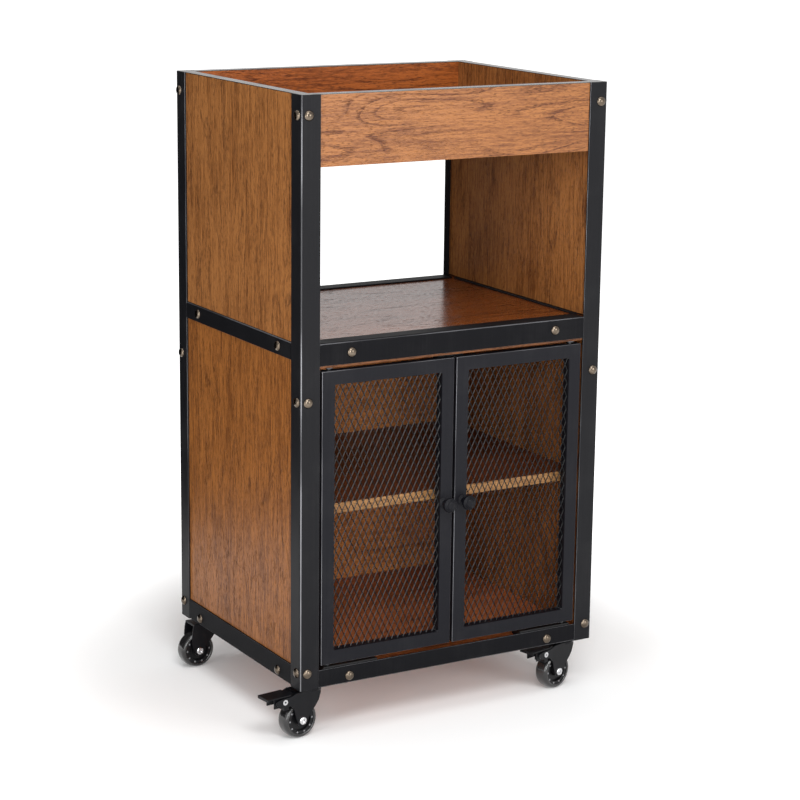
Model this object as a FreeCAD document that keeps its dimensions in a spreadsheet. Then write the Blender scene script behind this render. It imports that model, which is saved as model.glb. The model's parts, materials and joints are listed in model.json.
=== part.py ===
"""Microwave cart: angle-steel frame, wood boards, two mesh doors and four swivel castors.

Frame of reference: +Z up, front of the cart towards -Y, right-hand side towards +X,
origin on the floor below the middle of the steel frame. All sizes in millimetres.
"""
import FreeCAD, Part
import Sketcher
import math
import os

from FreeCAD import Placement, Rotation, Vector

DRIVING_DIMENSIONS = [
    ("frame_width", 500, "outside of the steel frame, left to right"),
    ("frame_depth", 400, "outside of the steel frame, front to back"),
    ("post_length", 845, "corner posts, which reach from the castors to the top"),
    ("castor_height", 77, "floor to the underside of the frame"),
    ("post_leg", 30, "both legs of a corner post"),
    ("steel", 2.5, "wall of every steel angle"),
    ("bend_radius", 4, "outside of the bend of every steel angle"),
    ("toe_radius", 0.8, "rounded outer edge of every steel leg"),
    ("flat_leg", 28, "horizontal leg of every rail"),
    ("shelf_rail_top", 579, "top of the rails round the microwave shelf"),
    ("front_shelf_leg", 32, "upright leg of the front and back shelf rails"),
    ("side_shelf_leg", 25, "upright leg of the side shelf rails"),
    ("front_bottom_leg", 27, "upright leg of the front and back bottom rails"),
    ("side_bottom_leg", 32, "upright leg of the side bottom rails"),
    ("board", 18, "thickness of the side, apron, shelf and bottom boards"),
    ("board_ease", 1.6, "eased edges of the boards, which clear the bends of the steel"),
    ("back_board", 12, "thickness of the cabinet's back panel"),
    ("apron_height", 99, "front and back boards of the tray"),
    ("tray_board", 15, "thickness of the tray floor"),
    ("edge_band", 1, "band on the top edge of the tray boards"),
    ("inner_board", 15, "thickness of the inner shelf"),
    ("inner_shelf_top", 340, "top of the inner shelf"),
    ("inner_shelf_front", 174, "inner shelf's front edge, ahead of the middle"),
    ("inner_shelf_back", 184, "inner shelf's back edge, behind the middle"),
    ("shelf_gap", 1, "gap at each end of the inner shelf"),
    ("shelf_pin_radius", 2.5, "shelf support pin"),
    ("shelf_pin_reach", 130, "shelf pins, from the middle towards front and back"),
    ("shelf_pin_length", 18, "half in the side panel, half under the shelf"),
    ("header_height", 15, "batten under the front of the microwave shelf"),
    ("door_edge", 216.5, "outer edge of each door from the middle"),
    ("door_gap", 2, "inner edge of each door from the middle"),
    ("door_bottom", 110.5, "lower edge of the doors"),
    ("door_height", 428.5, "height of the doors"),
    ("tube_face", 20, "width of the door tube seen from the front"),
    ("tube_depth", 15, "depth of the door tube"),
    ("tube_wall", 1.5, "wall of the door tube"),
    ("tube_round", 1.5, "rounded edges of the door tube"),
    ("window_round", 3, "corner radius of the door window"),
    ("mesh_setback", 3, "mesh face behind the door face"),
    ("mesh_sheet", 1.2, "thickness of the mesh sheet"),
    ("mesh_strand", 2.0, "width of a mesh strand"),
    ("mesh_columns", 11, "whole diamonds across a door"),
    ("mesh_rows", 13, "whole diamonds down a door"),
    ("pivot_reach", 202, "door pivots from the middle"),
    ("pivot_depth", 9, "door pivots behind the front face"),
    ("pivot_radius", 3, "door pivot pin"),
    ("running_gap", 0.05, "radial clearance of every turning fit"),
    ("bush_radius", 5, "pivot bush in the header"),
    ("bush_flange", 7, "flange of the pivot bush"),
    ("bush_length", 12, "pivot bush above its flange"),
    ("bush_plate", 1.5, "thickness of the bush flange"),
    ("block_length", 88, "pivot block, left to right"),
    ("block_depth", 22, "pivot block, front to back"),
    ("block_height", 9, "pivot block above the bottom board"),
    ("block_outer", 211, "outer end of the pivot block from the middle"),
    ("catch_length", 42, "magnetic catch, left to right"),
    ("catch_depth", 14, "magnetic catch, front to back"),
    ("catch_height", 17, "magnetic catch below the header"),
    ("catch_gap", 0.4, "magnetic catch behind the closed doors"),
    ("knob_reach", 16, "knobs from the middle"),
    ("knob_height", 326, "knobs above the floor"),
    ("knob_radius", 11, "knob head"),
    ("knob_base", 6, "knob base plate, radius"),
    ("knob_base_plate", 2, "knob base plate, thickness"),
    ("knob_neck", 4, "knob neck, radius"),
    ("knob_projection", 22, "knob in front of the door"),
    ("knob_head", 8, "thickness of the knob head"),
    ("knob_stud", 2, "stud that holds the knob, radius"),
    ("knob_stud_end", 3, "stud behind the door's front wall"),
    ("knob_ring", 6.8, "ring groove in the knob head, radius"),
    ("knob_groove", 0.9, "ring groove in the knob head, half width"),
    ("screw_radius", 1.9, "screw shank"),
    ("screw_length", 9, "screw shank under the head"),
    ("head_radius", 7.2, "dome head"),
    ("head_height", 4.2, "dome head"),
    ("post_screw_face", 11.5, "post screws from the corner, on both faces"),
    ("post_screw_top", 894, "upper post screws above the floor"),
    ("post_screw_middle", 497, "middle post screws above the floor"),
    ("post_screw_bottom", 101.8, "lower post screws above the floor"),
    ("rail_screw_front", 170, "front and back rail screws from the middle"),
    ("rail_screw_side", 130, "side rail screws from the middle"),
    ("front_shelf_screw", 563, "front and back shelf rail screws above the floor"),
    ("side_shelf_screw", 566.5, "side shelf rail screws above the floor"),
    ("bottom_screw", 88.5, "bottom rail screws above the floor"),
    ("under_screw_edge", 14, "screws up through the bottom rails, from the outside"),
    ("castor_reach_x", 219, "castor stems from the middle, sideways"),
    ("castor_reach_y", 170, "castor stems from the middle, front to back"),
    ("stem_radius", 4, "castor stem"),
    ("stem_head", 7.5, "riveted lower end of the stem, radius"),
    ("stem_head_height", 3.5, "riveted lower end of the stem"),
    ("race_radius", 18, "race collar on the stem"),
    ("race_height", 3.5, "race collar on the stem"),
    ("fork_race", 15, "race ring on the fork, radius"),
    ("fork_race_height", 2.1, "race ring on the fork"),
    ("swivel_gap", 0.4, "stem head below the fork's top plate"),
    ("wheel_radius", 27.5, "tyre"),
    ("tyre_width", 23, "tyre"),
    ("tyre_shoulder", 5.5, "rounded shoulder of the tyre"),
    ("core_radius", 21.4, "wheel core inside the tyre"),
    ("hub_radius", 8.5, "hub of the wheel core"),
    ("hub_width", 24, "hub of the wheel core"),
    ("web_width", 12, "web of the wheel core"),
    ("rim_width", 19, "rim of the wheel core"),
    ("rim_depth", 4.6, "rim of the wheel core"),
    ("core_hole", 1.5, "small holes through the wheel core"),
    ("core_hole_ring", 19.1, "radius of the ring of small holes"),
    ("axle_radius", 3, "axle bolt"),
    ("axle_head", 5.8, "axle bolt head, radius"),
    ("axle_head_height", 2.6, "axle bolt head"),
    ("castor_trail", 21.5, "axle behind the stem"),
    ("fork_gap", 24.6, "between the two cheeks of a fork"),
    ("fork_plate", 2, "fork cheek"),
    ("fork_top", 71, "upper face of the fork's top plate"),
    ("fork_top_plate", 3, "thickness of the fork's top plate"),
    ("fork_disc", 17, "round top plate of the fork, radius"),
    ("fork_top_end", 31, "back end of the fork's top plate, behind the stem"),
    ("fork_hub", 9, "round lower end of a fork cheek, radius"),
    ("rivet_reach", 52, "brake rivet behind the stem"),
    ("rivet_height", 61.5, "brake rivet above the floor"),
    ("rivet_radius", 2.5, "brake rivet"),
    ("rivet_head", 4, "flared end of the brake rivet, radius"),
    ("rivet_flare", 1, "flared end of the brake rivet, thickness"),
    ("rivet_bore", 1.4, "hole through the hollow brake rivet"),
    ("pedal_top", 70.5, "upper face of the brake pedal"),
    ("pedal_plate", 2, "thickness of the brake pedal"),
    ("pedal_width", 27, "brake pedal"),
    ("pedal_end", 80.5, "foot end of the brake pedal, behind the stem"),
    ("pedal_start", 41, "near end of the broad part of the pedal, behind the stem"),
    ("pedal_neck_width", 18, "narrow part of the pedal"),
    ("pedal_neck_start", 34.5, "near end of the narrow part of the pedal, behind the stem"),
    ("pedal_lip", 4.5, "folded edge at the foot end"),
    ("ear_start", 44, "near end of the pedal's ears, behind the stem"),
    ("ear_end", 68, "far end of the pedal's ears, behind the stem"),
    ("ear_bottom", 53, "lower edge of the pedal's ears above the floor"),
    ("ear_width", 20.4, "outside of the pedal's two ears"),
    ("shoe_start", 42.5, "brake shoe, behind the stem"),
    ("shoe_length", 8, "brake shoe"),
    ("shoe_bottom", 47, "lower edge of the brake shoe above the floor"),
    ("shoe_height", 9, "brake shoe"),
]

doc = FreeCAD.newDocument("microwave_cart")
sheet = doc.addObject("Spreadsheet::Sheet", "dims")
parts = []


def fill_sheet():
    for row, (alias, value, meaning) in enumerate(DRIVING_DIMENSIONS, start=1):
        sheet.set(f"A{row}", alias)
        sheet.set(f"B{row}", str(value))
        sheet.set(f"C{row}", meaning)
        sheet.setAlias(f"B{row}", alias)
    doc.recompute()


def size(alias):
    """The value of a driving dimension."""
    return float(sheet.get(alias))


def bind(thing, **formulas):
    """Bind properties to the sheet: bind(box, Length="dims.board")."""
    for name, formula in formulas.items():
        thing.setExpression(name, formula)


def bind_place(thing, x="0", y="0", z="0"):
    """Bind where an object stands."""
    for axis, formula in (("x", x), ("y", y), ("z", z)):
        thing.setExpression(f"Placement.Base.{axis}", formula)


def keep(thing, label):
    """Name an object as one finished piece of the cart."""
    thing.Label = label
    parts.append(thing)
    return thing


# ---------------------------------------------------------------- shared building blocks

def box(name, length, width, height, x="0", y="0", z="0"):
    block = doc.addObject("Part::Box", name)
    bind(block, Length=length, Width=width, Height=height)
    bind_place(block, x, y, z)
    return block


def cylinder(name, radius, height, x="0", y="0", z="0", along="z"):
    """A cylinder that starts at x, y, z and runs along +x, +y or +z."""
    turns = {
        "x": Rotation(Vector(0, 1, 0), 90),
        "y": Rotation(Vector(1, 0, 0), -90),
        "z": Rotation(),
    }
    rod = doc.addObject("Part::Cylinder", name)
    rod.Placement = Placement(Vector(), turns[along])
    bind(rod, Radius=radius, Height=height)
    bind_place(rod, x, y, z)
    return rod


def cut(name, base, tool):
    result = doc.addObject("Part::Cut", name)
    result.Base = base
    result.Tool = tool
    return result


def fuse(name, shapes):
    result = doc.addObject("Part::MultiFuse", name)
    result.Shapes = shapes
    result.Refine = True
    return result


def group(name, shapes):
    """Several separate solids that share one node."""
    result = doc.addObject("Part::Compound", name)
    result.Links = shapes
    return result


def origin_plane(body, role):
    for feature in body.Origin.OriginFeatures:
        if feature.Role == role:
            return feature
    raise ValueError(role)


def sketch_on(body, role, name):
    sketch = body.newObject("Sketcher::SketchObject", name)
    sketch.AttachmentSupport = [(origin_plane(body, role), "")]
    sketch.MapMode = "FlatFace"
    return sketch


def closed_outline(sketch, points):
    """Straight edges through the points, joined end to end. Gives the edges' numbers."""
    edges = []
    for start, end in zip(points, points[1:] + points[:1]):
        line = Part.LineSegment(Vector(*start, 0), Vector(*end, 0))
        edges.append(sketch.addGeometry(line, False))
    for first, second in zip(edges, edges[1:] + edges[:1]):
        sketch.addConstraint(Sketcher.Constraint("Coincident", first, 2, second, 1))
    return edges


def set_length(sketch, kind, edge, alias, name):
    """Give an edge of a sketch its length, bound to the sheet."""
    value = size(alias)
    index = sketch.addConstraint(Sketcher.Constraint(kind, edge, 1, edge, 2, value))
    sketch.renameConstraint(index, name)
    sketch.setExpression(f"Constraints.{name}", f"dims.{alias}")


def edges_along(shape, direction, test):
    """Names of the straight edges that run along a direction and pass a test of their middle."""
    names = []
    for number, edge in enumerate(shape.Edges, start=1):
        if edge.Curve.TypeId != "Part::GeomLine":
            continue
        if abs(abs(edge.tangentAt(edge.FirstParameter).dot(direction)) - 1) > 1e-6:
            continue
        if test(edge.CenterOfMass):
            names.append(f"Edge{number}")
    return names


def round_edges(body, base, names, radius, label):
    fillet = body.newObject("PartDesign::Fillet", label)
    fillet.Base = (base, names)
    fillet.setExpression("Radius", radius)
    doc.recompute()
    return fillet


def rounded(name, blank, radius, direction=None, test=lambda middle: True):
    """A block with its edges rounded: all of them, or those along a direction that pass a test."""
    doc.recompute()
    if direction:
        names = edges_along(blank.Shape, direction, test)
    else:
        names = [f"Edge{number}" for number in range(1, len(blank.Shape.Edges) + 1)]
    smooth = doc.addObject("Part::Fillet", name)
    smooth.Base = blank
    smooth.Edges = [(int(edge[len("Edge"):]), radius, radius) for edge in names]
    return smooth


# ---------------------------------------------------------------- steel angles

def steel_angle(name, first_leg, second_leg, length):
    """An L-section bar: legs along its own +X and +Y, length along +Z, bend at its origin."""
    body = doc.addObject("PartDesign::Body", f"{name}_bar")
    sketch = sketch_on(body, "XY_Plane", f"{name}_section")
    a = size(first_leg)
    b = size(second_leg)
    wall = size("steel")
    edges = closed_outline(sketch, [(0, 0), (a, 0), (a, wall), (wall, wall), (wall, b), (0, b)])
    for number, kind in enumerate(["Horizontal", "Vertical"] * 3):
        sketch.addConstraint(Sketcher.Constraint(kind, edges[number]))
    sketch.addConstraint(Sketcher.Constraint("Coincident", edges[0], 1, -1, 1))
    set_length(sketch, "DistanceX", edges[0], first_leg, "first_leg")
    set_length(sketch, "DistanceY", edges[1], "steel", "first_wall")
    sketch.addConstraint(Sketcher.Constraint("Equal", edges[1], edges[4]))
    index = sketch.addConstraint(Sketcher.Constraint("DistanceY", edges[5], 2, edges[5], 1, b))
    sketch.renameConstraint(index, "second_leg")
    sketch.setExpression("Constraints.second_leg", f"dims.{second_leg}")
    pad = body.newObject("PartDesign::Pad", f"{name}_length")
    pad.Profile = sketch
    pad.setExpression("Length", length)
    doc.recompute()
    up = Vector(0, 0, 1)
    outer = edges_along(pad.Shape, up, lambda p: p.x < 1e-6 and p.y < 1e-6)
    bend = round_edges(body, pad, outer, "dims.bend_radius", f"{name}_bend")
    inner = edges_along(bend.Shape, up, lambda p: abs(p.x - wall) < 1e-6 and abs(p.y - wall) < 1e-6)
    inside = round_edges(body, bend, inner, "dims.bend_radius - dims.steel", f"{name}_inside_bend")
    toes = edges_along(inside.Shape, up,
                       lambda p: (p.x > a - 1e-6 and p.y < 1e-6) or (p.y > b - 1e-6 and p.x < 1e-6))
    round_edges(body, inside, toes, "dims.toe_radius", f"{name}_toes")
    return body


def drilled(label, base, holes):
    """A finished piece: the blank without what the screws, stems, pins or bushes take out of it."""
    return keep(cut(label, base, holes), label)


def half(alias, sign=1):
    """Formula for half of a dimension, on the positive or negative side."""
    return f"{sign} * dims.{alias} / 2"


def corner_posts(holes):
    turns = {(-1, -1): 0, (1, -1): 90, (1, 1): 180, (-1, 1): 270}
    for (side, face), turn in turns.items():
        end = "front" if face < 0 else "back"
        hand = "left" if side < 0 else "right"
        label = f"{end}_{hand}_post"
        bar = steel_angle(label, "post_leg", "post_leg", "dims.post_length")
        bar.Placement = Placement(Vector(), Rotation(Vector(0, 0, 1), turn))
        bind_place(bar, half("frame_width", side), half("frame_depth", face), "dims.castor_height")
        drilled(label, bar, holes)


def rail(label, flat, upright, bar_length, flat_way, upright_way, x, y, z, holes):
    """A rail whose flat leg and upright leg point the given ways. It runs along their cross."""
    along = flat_way.cross(upright_way)
    bar = steel_angle(label, flat, upright, bar_length)
    bar.Placement = Placement(Vector(), Rotation(flat_way, upright_way, along, "ZXY"))
    bind_place(bar, x, y, z)
    drilled(label, bar, holes)


def rails(holes):
    down = Vector(0, 0, -1)
    up = Vector(0, 0, 1)
    front_run = "dims.frame_width - 2 * dims.post_leg"
    side_run = "dims.frame_depth - 2 * dims.post_leg"
    for level, upright_way, height in (("shelf", down, "dims.shelf_rail_top"),
                                       ("bottom", up, "dims.castor_height")):
        # Each bar starts at the end from which the cross of its two legs points along the run.
        start = 1 if level == "shelf" else -1
        for face, end in ((-1, "front"), (1, "back")):
            x = f"{-face * start} * ({front_run}) / 2"
            rail(f"{end}_{level}_rail", "flat_leg", f"front_{level}_leg", front_run,
                 Vector(0, -face, 0), upright_way, x, half("frame_depth", face), height, holes)
        for side, hand in ((-1, "left"), (1, "right")):
            y = f"{side * start} * ({side_run}) / 2"
            rail(f"{hand}_{level}_rail", "flat_leg", f"side_{level}_leg", side_run,
                 Vector(-side, 0, 0), upright_way, half("frame_width", side), y, height, holes)


# ---------------------------------------------------------------- screws

def screw_master():
    """One dome-headed screw: seat at its origin, shank along -Z, head along +Z."""
    body = doc.addObject("PartDesign::Body", "screw_master")
    sketch = sketch_on(body, "XZ_Plane", "screw_half_section")
    shank = size("screw_radius")
    length = size("screw_length")
    head = size("head_radius")
    rise = size("head_height")
    lines = [((0, rise), (0, -length)), ((0, -length), (shank, -length)),
             ((shank, -length), (shank, 0)), ((shank, 0), (head, 0))]
    edges = []
    for start, end in lines:
        line = Part.LineSegment(Vector(*start, 0), Vector(*end, 0))
        edges.append(sketch.addGeometry(line, False))
    dome_radius = (head ** 2 + rise ** 2) / (2 * rise)
    dome_centre = rise - dome_radius
    rim_angle = math.atan2(-dome_centre, head)
    dome = Part.ArcOfCircle(Part.Circle(Vector(0, dome_centre, 0), Vector(0, 0, 1), dome_radius),
                            rim_angle, math.pi / 2)
    arc = sketch.addGeometry(dome, False)
    for first, second in zip(edges, edges[1:]):
        sketch.addConstraint(Sketcher.Constraint("Coincident", first, 2, second, 1))
    sketch.addConstraint(Sketcher.Constraint("Coincident", edges[3], 2, arc, 1))
    sketch.addConstraint(Sketcher.Constraint("Coincident", arc, 2, edges[0], 1))
    sketch.addConstraint(Sketcher.Constraint("PointOnObject", edges[0], 1, -2))
    sketch.addConstraint(Sketcher.Constraint("PointOnObject", edges[0], 2, -2))
    sketch.addConstraint(Sketcher.Constraint("PointOnObject", arc, 3, -2))
    for number, kind in ((1, "Horizontal"), (2, "Vertical"), (3, "Horizontal")):
        sketch.addConstraint(Sketcher.Constraint(kind, edges[number]))
    sketch.addConstraint(Sketcher.Constraint("PointOnObject", edges[3], 1, -1))
    set_length(sketch, "DistanceX", edges[1], "screw_radius", "shank")
    head_edge = Sketcher.Constraint("DistanceX", -1, 1, edges[3], 2, head)
    head_top = Sketcher.Constraint("DistanceY", -1, 1, edges[0], 1, rise)
    shank_end = Sketcher.Constraint("DistanceY", edges[0], 2, -1, 1, length)
    for name, constraint, alias in (("head", head_edge, "head_radius"), ("rise", head_top, "head_height"),
                                    ("reach", shank_end, "screw_length")):
        sketch.renameConstraint(sketch.addConstraint(constraint), name)
        sketch.setExpression(f"Constraints.{name}", f"dims.{alias}")
    turn = body.newObject("PartDesign::Revolution", "screw_turned")
    turn.Profile = sketch
    turn.ReferenceAxis = (sketch, ["V_Axis"])
    turn.Angle = 360
    doc.recompute()
    return body


def screw_places():
    """Seat and outward direction of every screw."""
    half_width = size("frame_width") / 2
    half_depth = size("frame_depth") / 2
    inset = size("post_screw_face")
    places = []
    for side in (-1, 1):
        for face in (-1, 1):
            for level in ("top", "middle", "bottom"):
                z = size(f"post_screw_{level}")
                across = Vector(side * (half_width - inset), face * half_depth, z)
                along = Vector(side * half_width, face * (half_depth - inset), z)
                places.append((across, Vector(0, face, 0)))
                places.append((along, Vector(side, 0, 0)))
    reach_x = size("rail_screw_front")
    reach_y = size("rail_screw_side")
    under = size("castor_height")
    edge = size("under_screw_edge")
    for face in (-1, 1):
        for hand in (-1, 1):
            for level in ("front_shelf_screw", "bottom_screw"):
                seat = Vector(hand * reach_x, face * half_depth, size(level))
                places.append((seat, Vector(0, face, 0)))
            for level in ("side_shelf_screw", "bottom_screw"):
                seat = Vector(hand * half_width, face * reach_y, size(level))
                places.append((seat, Vector(hand, 0, 0)))
            below_front = Vector(hand * reach_x, face * (half_depth - edge), under)
            below_side = Vector(hand * (half_width - edge), face * reach_y, under)
            places.append((below_front, Vector(0, 0, -1)))
            places.append((below_side, Vector(0, 0, -1)))
    return places


def placed_copies(name, master_shape, places):
    """The same solid set at many seats, as one object."""
    copies = []
    for seat, outward in places:
        copy = master_shape.copy()
        copy.Placement = Placement(seat, Rotation(Vector(0, 0, 1), outward))
        copies.append(copy)
    thing = doc.addObject("Part::Feature", name)
    thing.Shape = Part.makeCompound(copies)
    return thing


def screws():
    """All the frame's screws, and the matching holes that the boards and angles get."""
    master = screw_master()
    places = screw_places()
    keep(placed_copies("frame_screws", master.Shape, places), "frame_screws")
    shank = Part.makeCylinder(size("screw_radius"), size("screw_length"), Vector(), Vector(0, 0, -1))
    return placed_copies("screw_holes", shank, places)


# ---------------------------------------------------------------- boards

INSIDE_X = "(dims.frame_width / 2 - dims.steel)"
INSIDE_Y = "(dims.frame_depth / 2 - dims.steel)"
CLEAR_X = f"({INSIDE_X} - dims.board)"
CLEAR_Y = f"({INSIDE_Y} - dims.board)"
FRONT = "(-dims.frame_depth / 2)"
TOP = "(dims.castor_height + dims.post_length)"
FLOOR_TOP = "(dims.castor_height + dims.steel + dims.board)"
SHELF_TOP = "(dims.shelf_rail_top - dims.steel)"
SHELF_UNDER = f"({SHELF_TOP} - dims.board)"
HEADER_UNDER = f"({SHELF_UNDER} - dims.header_height)"


def board(label, length, width, height, x, y, z):
    """A plain rectangular board."""
    return keep(box(f"{label}_blank", length, width, height, x, y, z), label)


def side_board(name, side, height, z):
    """A board as deep as the frame, with its two upright outer edges eased."""
    x = f"-{INSIDE_X}" if side < 0 else CLEAR_X
    blank = box(f"{name}_blank", "dims.board", f"2 * {INSIDE_Y}", height, x, f"-{INSIDE_Y}", z)
    return rounded(f"{name}_eased", blank, size("board_ease"), Vector(0, 0, 1),
                   lambda middle: abs(middle.x) > size("frame_width") / 2 - size("board"))


def full_board(label, under, holes):
    """A board that fills the steel frame, with all its edges eased."""
    blank = box(f"{label}_blank", f"2 * {INSIDE_X}", f"2 * {INSIDE_Y}", "dims.board",
                f"-{INSIDE_X}", f"-{INSIDE_Y}", under)
    return drilled(label, rounded(f"{label}_eased", blank, size("board_ease")), holes)


def side_panels(holes, pins):
    for side, hand in ((-1, "left"), (1, "right")):
        upper = side_board(f"{hand}_upper", side, f"{TOP} - dims.edge_band - dims.shelf_rail_top",
                           "dims.shelf_rail_top")
        drilled(f"{hand}_upper_panel", upper, holes)
        lower = side_board(f"{hand}_lower", side, f"{SHELF_UNDER} - {FLOOR_TOP}", FLOOR_TOP)
        drilled(f"{hand}_lower_panel", lower, group(f"{hand}_panel_holes", [holes, pins]))


def tray():
    """The open tray on top: its front and back boards, its floor and the band round its rim."""
    for face, end in ((-1, "front"), (1, "back")):
        y = f"-{INSIDE_Y}" if face < 0 else CLEAR_Y
        board(f"{end}_apron", f"2 * {CLEAR_X}", "dims.board", "dims.apron_height - dims.edge_band",
              f"-{CLEAR_X}", y, f"{TOP} - dims.apron_height")
    board("tray_floor", f"2 * {CLEAR_X}", f"2 * {CLEAR_Y}", "dims.tray_board",
          f"-{CLEAR_X}", f"-{CLEAR_Y}", f"{TOP} - dims.apron_height")
    bands = [side_board("side_band", side, "dims.edge_band", f"{TOP} - dims.edge_band") for side in (-1, 1)]
    for y in (f"-{INSIDE_Y}", CLEAR_Y):
        bands.append(box("end_band", f"2 * {CLEAR_X}", "dims.board", "dims.edge_band",
                         f"-{CLEAR_X}", y, f"{TOP} - dims.edge_band"))
    keep(group("top_edge_bands", bands), "top_edge_bands")


def shelf_pins():
    rods = []
    height = "dims.inner_shelf_top - dims.inner_board - dims.shelf_pin_radius"
    for side in (-1, 1):
        for face in (-1, 1):
            x = f"{side} * {CLEAR_X} - dims.shelf_pin_length / 2"
            rods.append(cylinder("shelf_pin", "dims.shelf_pin_radius", "dims.shelf_pin_length",
                                 x, f"{face} * dims.shelf_pin_reach", height, "x"))
    return keep(group("shelf_pins", rods), "shelf_pins")


def cabinet():
    board("back_panel", f"2 * {CLEAR_X}", "dims.back_board", f"{SHELF_UNDER} - {FLOOR_TOP}",
          f"-{CLEAR_X}", f"{INSIDE_Y} - dims.back_board", FLOOR_TOP)
    shelf_half = f"({CLEAR_X} - dims.shelf_gap)"
    board("inner_shelf", f"2 * {shelf_half}", "dims.inner_shelf_front + dims.inner_shelf_back",
          "dims.inner_board", f"-{shelf_half}", "-dims.inner_shelf_front",
          "dims.inner_shelf_top - dims.inner_board")


# ---------------------------------------------------------------- what the doors hang on

def pivot_x(side):
    return f"{side} * dims.pivot_reach"


PIVOT_Y = f"({FRONT} + dims.pivot_depth)"
BORE = "dims.pivot_radius + dims.running_gap"


def door_header():
    sockets = []
    for side in (-1, 1):
        sockets.append(cylinder("bush_socket", "dims.bush_radius", "dims.bush_length",
                                pivot_x(side), PIVOT_Y, HEADER_UNDER))
    blank = box("door_header_blank", f"2 * {CLEAR_X}", "dims.board", "dims.header_height",
                f"-{CLEAR_X}", f"-{INSIDE_Y}", HEADER_UNDER)
    drilled("door_header", blank, group("bush_sockets", sockets))


def pivot_bushes():
    bushes = []
    low = f"{HEADER_UNDER} - dims.bush_plate"
    for side in (-1, 1):
        sleeve = cylinder("bush_sleeve", "dims.bush_radius", "dims.bush_length",
                          pivot_x(side), PIVOT_Y, HEADER_UNDER)
        flange = cylinder("bush_flange", "dims.bush_flange", "dims.bush_plate", pivot_x(side), PIVOT_Y, low)
        bore = cylinder("bush_bore", BORE, "dims.bush_plate + dims.bush_length",
                        pivot_x(side), PIVOT_Y, low)
        bushes.append(cut("bush", fuse("bush_blank", [sleeve, flange]), bore))
    keep(group("pivot_bushes", bushes), "pivot_bushes")


def pivot_blocks():
    """Black blocks on the cabinet floor. Their top edge shows just above the front rail."""
    blocks = []
    for side in (-1, 1):
        x = "dims.block_outer - dims.block_length" if side > 0 else "-dims.block_outer"
        blank = box("block_blank", "dims.block_length", "dims.block_depth", "dims.block_height",
                    x, f"-{INSIDE_Y}", FLOOR_TOP)
        bore = cylinder("block_bore", BORE, "dims.block_height", pivot_x(side), PIVOT_Y, FLOOR_TOP)
        blocks.append(cut("block", blank, bore))
    keep(group("pivot_blocks", blocks), "pivot_blocks")


def magnetic_catch():
    face = f"({FRONT} + dims.tube_depth + dims.catch_gap)"
    low = f"({HEADER_UNDER} - dims.catch_height)"
    case = box("catch_case", "dims.catch_length", "dims.catch_depth", "dims.catch_height",
               "-dims.catch_length / 2", face, low)
    keep(case, "magnetic_catch")


# ---------------------------------------------------------------- doors

def door_left_edge(side):
    return "(-dims.door_edge)" if side < 0 else "dims.door_gap"


DOOR_WIDTH = "(dims.door_edge - dims.door_gap)"
WINDOW_INSET = "dims.tube_face"


def door_block(name, side, inset, front_inset, depth):
    """A block as large as the door, drawn in by an inset on its four edges."""
    return box(name, f"{DOOR_WIDTH} - 2 * ({inset})", depth, f"dims.door_height - 2 * ({inset})",
               f"{door_left_edge(side)} + {inset}", f"{FRONT} + {front_inset}",
               f"dims.door_bottom + {inset}")


def door_frame(side, hand):
    """Four lengths of square tube welded into one frame, hollow inside."""
    outside_blank = door_block(f"{hand}_door_blank", side, "0", "0", "dims.tube_depth")
    outside = rounded(f"{hand}_door_outside", outside_blank, size("tube_round"))
    window_blank = door_block(f"{hand}_window_blank", side, WINDOW_INSET, "0", "dims.tube_depth")
    window = rounded(f"{hand}_door_window", window_blank, size("window_round"), Vector(0, 1, 0))
    bore_depth = "dims.tube_depth - 2 * dims.tube_wall"
    hollow = door_block(f"{hand}_door_hollow", side, "dims.tube_wall", "dims.tube_wall", bore_depth)
    middle = door_block(f"{hand}_door_middle", side, f"({WINDOW_INSET} - dims.tube_wall)",
                        "dims.tube_wall", bore_depth)
    bore = cut(f"{hand}_tube_bore", hollow, middle)
    pins = [cylinder("pin_hole", "dims.pivot_radius", "dims.tube_wall", pivot_x(side), PIVOT_Y, z)
            for z in ("dims.door_bottom", "dims.door_bottom + dims.door_height - dims.tube_wall")]
    stud = cylinder("stud_hole", "dims.knob_stud", "dims.tube_wall",
                    f"{side} * dims.knob_reach", FRONT, "dims.knob_height", "y")
    ring = cut(f"{hand}_door_ring", outside, window)
    openings = group(f"{hand}_door_openings", [bore, stud] + pins)
    keep(cut(f"{hand}_door_frame", ring, openings), f"{hand}_door_frame")


def diamond(centre_x, centre_z, half_width, half_height, y):
    corners = [(centre_x - half_width, centre_z), (centre_x, centre_z - half_height),
               (centre_x + half_width, centre_z), (centre_x, centre_z + half_height)]
    points = [Vector(x, y, z) for x, z in corners]
    return Part.Wire(Part.makePolygon(points + points[:1]))


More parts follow.
